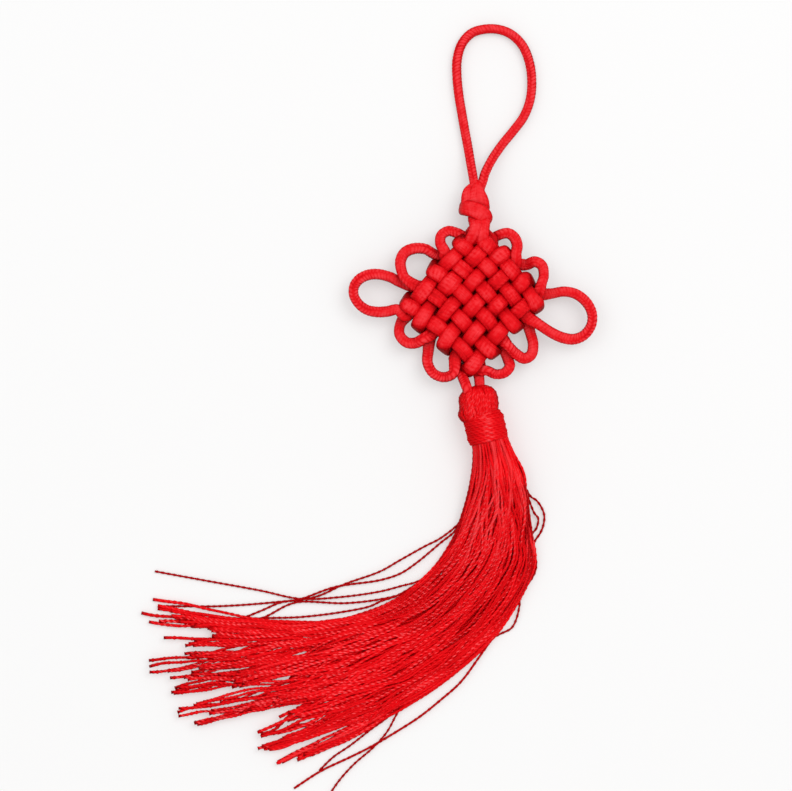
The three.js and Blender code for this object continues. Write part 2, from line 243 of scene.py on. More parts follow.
def ease(value):
    # 0 below 0, 1 above 1, and the smooth step v^2 (3 - 2 v) between
    value = np.clip(value, 0, 1)
    return value * value * (3 - 2 * value)


def ringAngles(sides):
    return fullTurn * np.arange(sides) / sides


def levelFrames(paths):
    # the side is level, up crossed with the tangent, its sign kept from one sample to the next
    # and bridged where the path runs nearly straight up or down; the normal is tangent x side
    tangent = np.gradient(paths, axis=1)
    tangent /= np.linalg.norm(tangent, axis=2, keepdims=True) + 1e-12
    side = np.cross(headUp, tangent)
    size = np.linalg.norm(side, axis=2)
    side /= size[:, :, None] + 1e-12
    every = np.arange(paths.shape[1])
    for strand in range(len(paths)):
        firm = np.flatnonzero(size[strand] > firmLevel)
        turns = np.sum(side[strand, firm][1:] * side[strand, firm][:-1], axis=1)
        signs = np.concatenate([[1.0], np.cumprod(np.where(turns < 0, -1.0, 1.0))])
        kept = side[strand, firm] * signs[:, None]
        side[strand] = np.stack([np.interp(every, firm, kept[:, i]) for i in range(3)], axis=1)
    side -= np.sum(side * tangent, axis=2, keepdims=True) * tangent
    side /= np.linalg.norm(side, axis=2, keepdims=True) + 1e-12
    return side, np.cross(tangent, side)


def tubeSurface(paths, frames, ringSide, ringUp, lengths):
    # every sample of every path carries a closed ring: path + ringSide x side + ringUp x normal;
    # neighbouring rings are joined by quads and both ends are capped
    side, normal = frames
    strands, samples, sides = ringSide.shape
    points = (paths[:, :, None, :] + ringSide[..., None] * side[:, :, None, :]
              + ringUp[..., None] * normal[:, :, None, :]).reshape(-1, 3)
    first = (np.arange(strands)[:, None, None] * samples + np.arange(samples - 1)[None, :, None]) * sides
    here = np.arange(sides)[None, None, :]
    after = (here + 1) % sides
    quads = np.stack([first + here, first + after, first + after + sides, first + here + sides],
                     axis=-1).reshape(-1, 4)
    starts = np.arange(strands)[:, None] * samples * sides + np.arange(sides)[None, ::-1]
    finals = (np.arange(strands)[:, None] * samples + samples - 1) * sides + np.arange(sides)[None, :]
    around = np.arange(sides) / sides
    u = np.stack([around, around + 1 / sides, around + 1 / sides, around], axis=-1)
    low, high = lengths[:, :-1, None], lengths[:, 1:, None]
    v = np.stack([low, low, high, high], axis=-1) + np.zeros((1, 1, sides, 1))
    quadUv = np.stack([np.broadcast_to(u[None, None], v.shape), v / uvLength], axis=-1).reshape(-1, 2)
    return points, quads, np.vstack([starts, finals]), quadUv


def buildPiece(name, surface, shade, material, node):
    # a mesh of the surface with its UV and its shade, flat a hair above the table at the lowest
    points, quads, caps, quadUv = surface
    points[:, 2] = np.maximum(points[:, 2], aboveTable)
    mesh = bpy.data.meshes.new(name)
    corners = np.concatenate([quads.ravel(), caps.ravel()]).astype(np.int32)
    totals = np.concatenate([np.full(len(quads), 4), np.full(len(caps), caps.shape[1])])
    mesh.vertices.add(len(points))
    mesh.vertices.foreach_set("co", toFrame(points).ravel())
    mesh.loops.add(len(corners))
    mesh.loops.foreach_set("vertex_index", corners)
    mesh.polygons.add(len(totals))
    mesh.polygons.foreach_set("loop_start", (np.cumsum(totals) - totals).astype(np.int32))
    mesh.polygons.foreach_set("loop_total", totals.astype(np.int32))
    mesh.polygons.foreach_set("use_smooth", np.ones(len(totals), bool))
    layer = mesh.uv_layers.new(name="UVMap")
    layer.data.foreach_set("uv", np.vstack([quadUv, np.zeros((caps.size, 2))]).ravel())
    attribute = mesh.attributes.new("shade", "FLOAT", "POINT")
    attribute.data.foreach_set("value", shade.ravel().astype(np.float32))
    mesh.update(calc_edges=True)
    mesh.validate()
    mesh.materials.append(material)
    piece = addObject(name, mesh)
    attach(piece, "root")
    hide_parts(node)
    return piece


# The braid: columns of short slanting stitches run along the cord, each column leaning the other way
braid = {
    "columns": 4, "pitch": 0.76, "lean": 0.95, "depth": 0.22, "groove": 0.4, "turnEvery": 300.0,
    "uneven": [(0.22, 2.9), (0.1, 1 / 1.7), (0.06, 1 / 5.3)],       # sizes and periods
    # the stitches get a painted highlight on their crests and painted shade in their furrows; the power
    # shapes the painted shade on the cord's sides
    "level": 0.7, "tone": 0.25, "edgePower": 1.6,
}


def braidHeight(around, along):
    # 0 in the furrows to 1 on the crests: sqrt(1 - (2 f - 1)^2) across a stitch, with f the
    # fraction left of along / pitch +- lean x s + column / 2, times (4 s (1 - s))^groove across the
    # column, with s from 0 to 1; the waves added to along make the stitches uneven
    along = along + sum(wave(along, size, period) for size, period in braid["uneven"])
    turned = (around + along / braid["turnEvery"]) * braid["columns"]
    column = np.floor(turned)
    s = turned - column
    lean = np.where(np.mod(column, 2) < 1, braid["lean"], -braid["lean"])
    f = np.mod(along / braid["pitch"] + lean * s + 0.5 * column, 1.0)
    return np.sqrt(np.clip(1 - (2 * f - 1) ** 2, 0, 1)) * (4 * s * (1 - s)) ** braid["groove"]


def cordSurface(paths, halfWidth, halfThickness, relief, edge, sides, softness, lengths=None):
    # the section is a superellipse |x / w|^n + |y / t|^n = 1 with n the softness, lifted by
    # depth x relief x (braid's height - level); its shade is tone + relief x (height - level), a painted
    # highlight on the stitches' crests and painted shade in their furrows, less the side shade x
    # (1 - upward)^its power, painted shade on the cord's sides and underside, with upward the part of its
    # normal that points up
    lengths = pathLengths(paths) if lengths is None else lengths
    angle = ringAngles(sides)
    cosine, sine = np.cos(angle), np.sin(angle)
    wide = np.sign(cosine) * np.abs(cosine) ** (2 / softness)
    tall = np.sign(sine) * np.abs(sine) ** (2 / softness)
    height = braidHeight(angle[None, None, :] / fullTurn, lengths[:, :, None])
    stitch = relief[:, :, None] * (height - braid["level"])
    raised = braid["depth"] * stitch
    frames = levelFrames(paths)
    surface = tubeSurface(paths, frames, halfWidth[:, :, None] * wide + raised * cosine,
                          halfThickness[:, :, None] * tall + raised * sine, lengths)
    upward = np.clip(sine * frames[1][:, :, 2:], 0, 1)
    return surface, braid["tone"] + stitch - edge[:, :, None] * (1 - upward) ** braid["edgePower"]


# The weave and its ears
weave = {
    "lines": 6, "middle": 3.5, "height": 3.75, "inner": 1.0, "outer": 2.75,
    "across": (2.815, 3.107), "down": (2.705, -2.716), "centre": (0.08, 0.92),
    "skew": (-0.064, -0.081), "droop": (-0.012, -0.158),
    "openEnd": 0.45, "shoulder": 0.36, "shoulderHeight": 2.45, "wrap": 0.6,
    "backShift": 0.35, "lastBackShift": -0.15, "uneven": 0.1,
    "halfWidth": 1.68, "halfThickness": 0.92, "earHalf": 1.22, "earClimb": 1.25,
    "pressedFirst": 0.8, "pressedBack": 0.9, "pressedLast": 0.6, "entryPressed": 0.2, "entrySwelling": 0.7,
    "slack": 1.3, "drift": (0.04, 5.3), "ripple": (0.03, 2.1),
    "relief": 0.85, "pressedRelief": 0.42, "reliefMean": 0.7, "reliefWave": (0.36, 3.7),
    # the side darkening is painted shade on the cord's sides, weaker where it is pressed; the darkening where
    # a cord sinks under another is painted shade too, less on the back layer
    "edge": 0.9, "pressedSideShade": 0.3, "pressedTone": 0.08, "toneWave": (0.07, 1.9),
    "sunkShade": 0.42, "sunkFrom": 0.15, "backLift": 0.6,
    "step": 0.125, "sides": 30, "softness": 2.9,
}
crownEntry = {
    "left": [[1.6, 19.0, 3.7], [0.7, 16.2, 4.2]],
    "right": [[2.0, 19.0, 3.7], [2.6, 15.2, 3.4]],
}
tails = {
    "left": [[-4.6, -14.0, 2.6], [-3.1, -17.0, 3.6], [-2.1, -19.5, 5.2], [-1.6, -20.9, 6.1],
             [-0.9, -22.5, 5.4]],
    "right": [[1.0, -17.2, 3.0], [1.25, -18.6, 3.8], [1.4, -21.4, 4.0]],
}
ears = {
    "topLeft": [[-1.0, 14.0], [-2.2, 13.8], [-3.7, 14.5], [-5.8, 15.0], [-7.4, 14.0],
                [-7.6, 12.2], [-6.6, 10.2]],
    "upperLeft": [[-8.8, 9.7], [-11.1, 10.9], [-13.6, 11.0], [-15.7, 10.1], [-16.7, 8.2],
                  [-16.5, 6.0], [-15.6, 4.1]],
    "leftCorner": [[-16.8, 3.4], [-19.1, 4.5], [-21.9, 5.15], [-24.2, 4.95], [-26.1, 4.0], [-27.3, 2.4],
                   [-27.4, 0.4], [-26.3, -1.6], [-24.4, -3.0], [-22.1, -3.5], [-19.8, -3.4], [-17.4, -3.0]],
    "lowerLeft": [[-16.8, -6.4], [-16.9, -8.7], [-15.4, -10.4], [-13.4, -10.6], [-11.6, -9.7]],
    "bottomLeft": [[-10.4, -12.6], [-10.5, -15.2], [-9.2, -17.5], [-6.9, -18.4], [-4.7, -17.5]],
    "topRight": [[4.6, 13.4], [6.0, 14.2], [7.8, 14.5], [9.2, 13.6], [9.9, 11.9], [9.6, 9.7]],
    "upperRight": [[12.2, 7.4], [14.0, 8.0], [15.6, 7.1], [16.0, 4.9], [15.5, 3.1]],
    "rightCorner": [[18.1, 0.8], [20.7, 1.2], [23.4, 0.6], [25.7, -1.2], [27.0, -3.7], [26.9, -6.4],
                    [25.3, -8.7], [23.0, -9.7], [20.4, -9.4], [17.7, -8.2], [14.9, -6.4]],
    "lowerRight": [[13.0, -8.2], [13.6, -11.0], [13.1, -13.3], [11.5, -14.1], [9.6, -13.0], [7.9, -11.3]],
    "bottomRight": [[7.8, -14.0], [8.2, -16.0], [7.0, -17.4], [5.0, -17.7], [3.0, -16.9]],
}
routes = {
    "left": [("falling", 6), "topLeft", ("falling", 4), "upperLeft", ("falling", 2), "leftCorner",
             ("rising", 1), "lowerLeft", ("rising", 3), "bottomLeft", ("rising", 5)],
    "right": [("rising", 2), "topRight", ("rising", 4), "upperRight", ("rising", 6), "rightCorner",
              ("falling", 5), "lowerRight", ("falling", 3), "bottomRight", ("falling", 1)],
}
# how much fuller than usual the cord is at a crossing, or thinner where its line starts or ends
swellings = {
    ("rising", 2, 3): 1.28, ("falling", 6, "wrap"): 1.22, ("rising", 4, 3): 1.06,
    ("rising", 2, "start"): 0.7, ("falling", 6, "start"): 0.68, ("falling", 6, "end"): 0.68,
}


def weavePoint(across, down, height, random):
    # centre + u x across + v x down + u v x skew + (u^2 + v^2) x droop, with u and v counted from
    # the middle of the lines, and a small random shift
    u, v = across - weave["middle"], down - weave["middle"]
    bow = u * u + v * v
    flat = [weave["centre"][i] + u * weave["across"][i] + v * weave["down"][i]
            + u * v * weave["skew"][i] + bow * weave["droop"][i] for i in range(2)]
    return [*(np.array(flat) + random.normal(0, weave["uneven"], 2)), weave["height"] + height]


def lineRows(family, line, random):
    # in on the front over and under the crossings, round the far edge, and back behind them, a
    # third of a line aside so that the back fills the gaps; each row is point, pressed, swelling
    falling = family == "falling"
    wrapsAtStart = line % 2 == (1 if falling else 0)
    order = list(range(weave["lines"], 0, -1)) if wrapsAtStart else list(range(1, weave["lines"] + 1))
    outward = -1 if wrapsAtStart else 1

    def shifted(number):
        return number + weave["lastBackShift" if number == weave["lines"] else "backShift"]

    def place(number, crossing, height):
        across, down = (number, crossing) if falling else (crossing, number)
        return weavePoint(across, down, height, random)

    def layer(crossing):
        return weave["outer"] if (line + crossing) % 2 == (0 if falling else 1) else weave["inner"]

    def swelling(crossing):
        return swellings.get((family, line, crossing), 1.0)

    start = order[0] - outward * weave["openEnd"]
    shoulder = order[-1] + outward * weave["shoulder"]
    apex = order[-1] + outward * weave["wrap"]
    back = weave["pressedBack"]
    rows = [(place(line, start, weave["inner"]), weave["pressedFirst"], swelling("start"))]
    rows += [(place(line, crossing, layer(crossing)), 1.0, swelling(crossing)) for crossing in order]
    rows += [(place(line, shoulder, weave["shoulderHeight"]), 1.0, swelling("wrap")),
             (place((line + shifted(line)) / 2, apex, 0), back, 1.0),
             (place(shifted(line), shoulder, -weave["shoulderHeight"]), back, 1.0)]
    rows += [(place(shifted(line), shifted(crossing), -layer(crossing)), back, 1.0)
             for crossing in reversed(order)]
    return rows + [(place(line, start, -weave["inner"]), weave["pressedLast"], swelling("end"))]


def earRows(name):
    # an ear leaves from the back, below the weave's middle height, and comes in again on the front;
    # its height follows the cube of its way along
    climb = weave["earClimb"] * np.linspace(-1, 1, len(ears[name])) ** 3
    return [([x, y, weave["height"] + z], 0.0, 1.0) for (x, y), z in zip(ears[name], climb)]


def halfRows(half, random):
    rows = [(row, weave["entryPressed"], weave["entrySwelling"]) for row in crownEntry[half]]
    for stretch in routes[half]:
        rows += earRows(stretch) if isinstance(stretch, str) else lineRows(*stretch, random)
    return rows + [(row, 0.0, 1.0) for row in tails[half]]


def makeKnotHalf(half, seed):
    # pressed goes from 0 on an ear, where the cord is round, to 1 on a crossing, where it is wide
    # and flat: half axis = ear's + (crossing's - ear's) x pressed; the cord is a little darker where it is
    # pressed, and has painted shade where it sinks under another, less on the back layer; its painted
    # shade on the sides is weaker where it is pressed
    random = np.random.default_rng(seed)
    points, pressing, swelling = zip(*halfRows(half, random))
    path, place, lengths = smoothPath(points, weave["step"], np.array(pressing) * weave["slack"])
    pressed, swell = (np.interp(place, np.arange(len(points)), values) for values in (pressing, swelling))
    drift = 1 + wave(lengths, *weave["drift"]) + wave(lengths, *weave["ripple"], seed)
    halfWidth = (weave["earHalf"] + (weave["halfWidth"] - weave["earHalf"]) * pressed) * swell * drift
    halfThickness = weave["earHalf"] + (weave["halfThickness"] - weave["earHalf"]) * pressed
    relief = weave["relief"] - weave["pressedRelief"] * pressed
    relief = relief * (weave["reliefMean"] + wave(lengths, *weave["reliefWave"], seed))
    edge = weave["edge"] - weave["pressedSideShade"] * pressed
    path[:, 2] = np.maximum(path[:, 2], halfThickness)
    surface, shade = cordSurface(path[None], halfWidth[None], halfThickness[None], relief[None],
                                 edge[None], weave["sides"], weave["softness"], lengths[None])
    # painted shade where the cord dives below the top of the weave, under its neighbours
    below = np.clip(weave["height"] + weave["outer"] - weave["sunkFrom"] - path[:, 2], 0, 1)
    sunk = pressed ** 2 * (below - weave["backLift"] * (path[:, 2] < weave["height"]))
    tone = pressed * (wave(lengths, *weave["toneWave"], seed) - weave["pressedTone"])
    shade += (tone - weave["sunkShade"] * sunk)[None, :, None]
    buildPiece("knot_cord_" + half, surface, shade, cordMaterial, "woven_knot")


for half, seed in (("left", 4), ("right", 9)):
    makeKnotHalf(half, seed)
print("stage: woven knot")

# The hanging loop, a free cord from one side of the crown knot round to the other
loop = {
    "half": 1.07, "step": 0.14, "sides": 30, "softness": 2.1,
    # the side darkening set below is painted shade on the cord's sides and underside
    "relief": 0.55, "reliefWave": (0.2, 4.1), "edge": 0.65, "pointEvery": 6,
    "route": [
        [0.4, 23.4, 3.8], [0.3, 24.4, 3.8], [0.1, 26.0, 3.6], [-0.2, 27.9, 3.2], [-0.6, 30.4, 2.2],
        [-1.2, 34.2, 1.15], [-1.9, 38.0, 1.0], [-2.6, 42.0, 1.0], [-3.3, 46.2, 1.0],
        [-3.75, 50.6, 1.0], [-3.7, 54.6, 1.0], [-2.6, 58.2, 1.0], [-0.4, 60.6, 1.0],
        [2.4, 61.5, 1.0], [5.6, 61.5, 1.0], [8.6, 60.4, 1.0], [11.2, 57.9, 1.0],
        [12.8, 54.2, 1.0], [13.4, 50.2, 1.0], [13.1, 45.6, 1.0], [11.6, 41.5, 1.0],
        [9.2, 38.2, 1.0], [6.6, 35.0, 1.15], [4.3, 31.6, 2.0], [2.6, 28.2, 3.3],
        [2.05, 26.3, 3.6], [1.35, 24.4, 3.8], [1.0, 23.4, 3.8],
    ],
}


def makeLoop():
    path, place, lengths = smoothPath(loop["route"], loop["step"])
    half = np.full((1, len(path)), loop["half"])
    relief = loop["relief"] + wave(lengths, *loop["reliefWave"])[None]
    surface, shade = cordSurface(path[None], half, half, relief, half * loop["edge"], loop["sides"],
                                 loop["softness"], lengths[None])
    piece = buildPiece("loop_cord", surface, shade, cordMaterial, "hanging_loop")


makeLoop()
print("stage: hanging loop")

# The crown knot: wide pressed cords laid over one another; each row is a place and a half width
crownKnot = {
    # the side darkening set below is painted shade on the cords' sides and underside
    "samples": 90, "sides": 30, "softness": 2.3, "halfThickness": 0.95, "relief": 0.22, "edge": 0.8,
}
crownCords = {
    "leftLeg": [[-0.15, 27.6, 3.0, 0.9], [0.1, 25.8, 3.9, 1.05], [0.2, 24.6, 4.1, 1.2],
                [0.2, 23.0, 4.0, 1.3]],
    "leftLobe": [[-0.1, 25.5, 3.0, 0.7], [-0.7, 24.8, 3.9, 1.0], [-1.15, 24.0, 4.5, 1.3],
                 [-1.35, 23.0, 4.9, 1.5], [-1.35, 21.8, 4.9, 1.6], [-1.3, 20.4, 4.3, 1.55]],
    "topPiece": [[0.75, 26.0, 3.4, 0.9], [0.78, 25.2, 4.3, 1.35], [0.78, 24.1, 4.9, 1.75],
                 [0.76, 22.9, 5.1, 2.4], [0.72, 21.9, 5.1, 2.8], [0.6, 20.6, 4.9, 3.1],
                 [0.5, 19.2, 3.8, 3.0]],
    "band": [[2.4, 19.2, 1.3, 1.7], [0.2, 19.9, 1.1, 1.7], [-2.0, 20.3, 1.9, 1.65], [-2.45, 20.3, 3.8, 1.75],
             [-1.6, 20.15, 5.7, 1.85], [0.4, 19.55, 6.7, 1.9], [1.5, 18.95, 6.6, 2.0], [2.25, 18.1, 6.0, 2.0],
             [2.65, 17.1, 4.4, 1.75], [2.6, 17.0, 2.1, 1.6], [1.2, 18.0, 1.2, 1.7]],
    "lowerRight": [[2.2, 19.0, 4.6, 1.5], [2.2, 17.6, 5.5, 1.6], [2.0, 16.0, 6.3, 1.65],
                   [1.9, 14.4, 6.8, 1.6], [1.95, 13.1, 6.2, 1.7], [2.3, 11.9, 4.6, 1.7],
                   [2.6, 10.9, 3.2, 1.4]],
    "lowerLeft": [[0.7, 19.4, 4.4, 1.7], [0.4, 17.8, 5.4, 1.8], [0.45, 16.2, 6.6, 1.6],
                  [0.15, 14.8, 7.1, 1.4], [-0.6, 13.4, 6.8, 1.3], [-1.5, 12.0, 5.2, 1.25],
                  [-2.0, 11.2, 3.8, 1.2]],
}


def makeCrownKnot():
    paths, further = evenPaths(crownCords.values(), crownKnot["samples"])
    widths = further[:, 0]
    thickness, relief, edge = (np.full(widths.shape, crownKnot[key])
                               for key in ("halfThickness", "relief", "edge"))
    surface, shade = cordSurface(paths, widths, thickness, relief, edge, crownKnot["sides"],
                                 crownKnot["softness"])
    buildPiece("crown_knot_cords", surface, shade, cordMaterial, "woven_knot")


makeCrownKnot()
print("stage: crown knot")

# The tassel's guide lines: a share across the bundle, 0 inside the bend to 1 outside, and the
# route from the end of the binding (station 0) to the tips (station 8)
guides = [
    (0.0, [[-0.1, -34.1], [-0.7, -42.5], [-3.3, -51.9], [-7.4, -60.2], [-15.7, -68.1],
           [-26.0, -73.0], [-39.8, -74.7], [-54.8, -73.9], [-72.0, -71.6]]),
    (0.33, [[2.6, -33.7], [3.6, -42.7], [2.5, -51.7], [-0.5, -60.9], [-7.4, -68.9],
            [-16.8, -75.1], [-31.8, -79.5], [-48.6, -79.5], [-69.3, -79.3]]),
    (0.7, [[5.6, -33.3], [8.2, -43.2], [8.7, -51.5], [7.1, -61.3], [1.3, -70.8],
           [-7.2, -79.3], [-20.3, -87.3], [-37.5, -92.6], [-63.5, -97.7]]),
    (0.76, [[6.1, -33.2], [9.2, -43.2], [9.9, -51.4], [8.6, -61.4], [2.7, -71.2],
            [-5.6, -80.0], [-18.9, -88.6], [-33.4, -94.2], [-46.6, -97.2]]),
    (1.0, [[7.8, -32.8], [11.9, -43.2], [13.1, -51.2], [13.8, -61.6], [9.4, -71.5],
           [1.8, -81.6], [-10.1, -90.6], [-22.6, -98.3], [-39.2, -105.6]]),
]
tones = [(0.0, 0.28), (2.0, 0.25), (3.5, 0.05), (5.0, -0.05), (6.5, 0.0), (8.0, 0.12)]    # by station
pile = [8.2, 6.6, 5.4, 4.6, 4.0, 3.5, 3.0, 2.3, 1.6]    # height of the bundle at each station
# tufts at the tips: where each ends, its strands and how far they scatter
tufts = [
    (-73.6, -69.3, 1, 0.3), (-72.3, -71.0, 2, 0.5), (-76.2, -72.3, 1, 0.3), (-72.0, -73.8, 1, 0.3),
    (-74.6, -74.3, 1, 0.3), (-69.5, -72.8, 2, 1.2), (-64.6, -73.6, 6, 1.6), (-62.6, -75.3, 9, 1.5),
    (-60.2, -76.6, 9, 1.6), (-70.9, -78.6, 1, 0.3), (-64.9, -79.3, 4, 0.9), (-74.8, -83.9, 1, 0.3),
    (-74.2, -85.3, 2, 0.4), (-65.6, -82.3, 4, 1.6), (-70.0, -86.9, 1, 0.3), (-68.4, -89.8, 2, 0.4),
    (-68.8, -90.7, 2, 0.4), (-65.0, -87.6, 5, 1.6), (-67.8, -95.0, 2, 0.4), (-67.3, -96.4, 1, 0.3),
    (-64.2, -96.8, 2, 0.5), (-63.8, -97.9, 2, 0.4), (-60.4, -93.8, 7, 1.8), (-53.5, -94.0, 8, 1.8),
    (-48.6, -100.0, 3, 0.6), (-49.0, -103.3, 3, 0.5), (-46.6, -103.9, 4, 0.7), (-44.7, -106.6, 3, 0.5),
    (-43.4, -101.6, 9, 1.7), (-39.4, -105.7, 6, 0.9), (-36.2, -103.6, 5, 1.4), (-39.0, -99.6, 8, 2.2),
    (-58.5, -84.0, 22, 3.6), (-54.0, -87.5, 22, 4.0), (-46.0, -91.5, 18, 3.2), (-39.5, -94.6, 18, 2.6),
    (-32.5, -97.5, 8, 2.2),
]
tassel = {
    "pieces": 3, "samples": 200, "tautTill": 34.0, "seed": 7, "neckHalf": 3.9, "neckFrom": 10.0,
    "guideStep": 0.4, "gridStations": 181, "searchShares": 81, "searchStations": (5.5, 8, 101),
    "rest": 0.34,                                       # height of the lowest strands' middles
    "sinksFrom": -0.1, "sinksBy": 2.2, "fanBy": 3.0, "gatherFrom": 5.4, "tuftReach": 1.8,
    "rootPower": 0.88, "tuftFlatness": 0.45, "neckShuffle": 0.14, "middleShuffle": 0.09,
    "levelShuffle": 0.18, "lowestShare": 0.6, "thinnest": 0.06, "sway": (0.16, 5.1),
    "waves": [(46.0, 0.55), (21.0, 0.32), (9.5, 0.12)], "waveScale": (0.4, 1.5), "calmTill": 14.0,
    "edgeCalm": 0.35, "edgeShare": 0.12,
    # the lower layers of strands are darker: painted shade under the upper ones
    "levelShade": 0.16, "toneSpread": 0.1, "toneWave": (0.10, 17.0), "toneFloor": 0.12,
    "gain": (0.1, 1.8, 2.2),                            # least, range and power of the crests' gain
}
# one strand: two plies, drawn as an oval that turns; half axes loose and near the neck
strand = {
    "sides": 6, "half": (0.39, 0.28), "tautHalf": (0.37, 0.31), "twist": 2.7,
    # the crest values set a painted highlight on the plies' crests that face up, the side value painted shade
    # on the strand's sides
    "flare": 0.25, "flareOver": 22.0, "crestMean": 0.12, "edge": 0.12,
    "cutTone": (0.3, 1.2), "endTone": (0.08, 9.0),      # darker by this much over the last millimetres
}
lastStation = len(pile) - 1
stationGrid = np.linspace(-1, lastStation, tassel["gridStations"])
shareGrid = np.array([share for share, route in guides])


def guideTable():
    # every guide sampled by station; station -1 is a row of its own inside the binding
    rows = []
    for share, route in guides:
        root = headTop + headAxis * tassel["neckFrom"] + headSide * tassel["neckHalf"] * (2 * share - 1)
        points = [[root[0], root[1], 0]] + [[x, y, 0] for x, y in route]
        path, place, lengths = smoothPath(points, tassel["guideStep"])
        rows.append(np.stack([np.interp(stationGrid, place - 1, path[:, i]) for i in range(2)], axis=1))
    return np.array(rows)


guideRows = guideTable()


def guidePoint(shares, stations):
    # bilinear between the two guides on either side of the share and along the station
    index = np.clip(np.searchsorted(shareGrid, shares) - 1, 0, len(shareGrid) - 2)
    between = ((shares - shareGrid[index]) / (shareGrid[index + 1] - shareGrid[index]))[..., None]
    row = np.clip((stations + 1) / (lastStation + 1), 0, 1) * (len(stationGrid) - 1)
    low = np.minimum(row.astype(int), len(stationGrid) - 2)
    part = (row - low)[..., None]
    here = guideRows[index, low] * (1 - part) + guideRows[index, low + 1] * part
    there = guideRows[index + 1, low] * (1 - part) + guideRows[index + 1, low + 1] * part
    return here + (there - here) * between


def nearestOnGuides(targets):
    # the share and station whose point lies nearest to each target, from a fine grid
    shares, stations = np.meshgrid(np.linspace(0, 1, tassel["searchShares"]),
                                   np.linspace(*tassel["searchStations"]), indexing="ij")
    grid = guidePoint(shares, stations).reshape(-1, 2)
    nearest = np.argmin(((targets[:, None, :] - grid[None]) ** 2).sum(axis=2), axis=1)
    return shares.ravel()[nearest], stations.ravel()[nearest], targets - grid[nearest]


def sinking(stations):
    # 0 where the bundle stands in its binding to 1 where it lies on the table
    return ease((stations - tassel["sinksFrom"]) / tassel["sinksBy"])


def pileHeight(stations):
    return np.interp(stations, np.arange(len(pile)), pile)


def levelWaves(paths, random, damping):
    # sideways by damping x the sum of size x scale x sin(2 pi length / wavelength + phase), eased
    # in from the neck
    lengths = pathLengths(paths)
    side = levelFrames(paths)[0]
    total = np.zeros(lengths.shape)
    for wavelength, size in tassel["waves"]:
        phase = random.uniform(0, fullTurn, (len(paths), 1))
        scale = random.uniform(*tassel["waveScale"], (len(paths), 1))
        total += size * scale * np.sin(fullTurn * lengths / wavelength + phase)
    return paths + side * (total * damping * ease(lengths / tassel["calmTill"]))[..., None]


def strandPaths(random):
    # a strand starts at its place in the round neck (a sunflower's layout), fans out to its share
    # of the bundle and gathers to its tuft; its flat place is the guides' point, its height blends
    # from the neck's to rest + share x pile x sqrt(1 - (2 share - 1)^2)
    targets = np.concatenate([[x, y] + random.normal(0, 1, (count, 2))
                              * [scatter, scatter * tassel["tuftFlatness"]]
                              for x, y, count, scatter in tufts])
    tipShares, tipStations, gaps = nearestOnGuides(targets)
    strands, samples = len(targets), tassel["samples"]
    number = np.arange(strands) + 0.5
    angle = np.arange(strands) * math.pi * (3 - math.sqrt(5))
    radius = np.sqrt(number / strands)
    disc = np.stack([radius * np.cos(angle), radius * np.sin(angle)], axis=1)
    disc = disc[np.argsort(disc[:, 0])]
    neck, middle = np.empty((strands, 2)), np.empty(strands)
    neck[np.argsort(tipShares + random.normal(0, tassel["neckShuffle"], strands))] = disc
    middle[np.argsort(tipShares + random.normal(0, tassel["middleShuffle"], strands))] = number / strands
    along = np.linspace(0, 1, samples) ** tassel["rootPower"]
    stations = -1 + along[None, :] * (tipStations + 1)[:, None]
    fan = ease(stations / tassel["fanBy"])
    gather = ease((stations - tassel["gatherFrom"]) / (tipStations[:, None] - tassel["gatherFrom"]))
    shares = (0.5 + neck[:, :1] / 2) * (1 - fan) + middle[:, None] * fan
    shares = shares * (1 - gather) + tipShares[:, None] * gather
    reach = ease((stations - tipStations[:, None] + tassel["tuftReach"]) / tassel["tuftReach"])
    flat = guidePoint(shares, stations) + gaps[:, None, :] * reach[..., None]
    level = ease(neck[:, 1] / 2 + 0.5 + random.normal(0, tassel["levelShuffle"], strands))[:, None]
    rounded = np.sqrt(np.clip(1 - (2 * shares - 1) ** 2, tassel["thinnest"], 1))
    layer = tassel["lowestShare"] + (1 - tassel["lowestShare"]) * level
    lying = tassel["rest"] + layer * pileHeight(stations) * rounded
    standing = head["height"] + neck[:, 1:] * tassel["neckHalf"]
    sink = sinking(stations)
    size, rate = tassel["sway"]
    height = standing * (1 - sink) + lying * sink
    height += size * np.sin(stations * rate + random.uniform(*anyPhase, (strands, 1))) * sink
    inside = ease((0.5 - np.abs(middle - 0.5)) / tassel["edgeShare"])[:, None]
    damping = tassel["edgeCalm"] + (1 - tassel["edgeCalm"]) * inside
    paths = levelWaves(np.dstack([flat, height]), random, damping)
    paths[:, :, 2] = np.maximum(paths[:, :, 2], tassel["rest"])
    return paths, level, stations


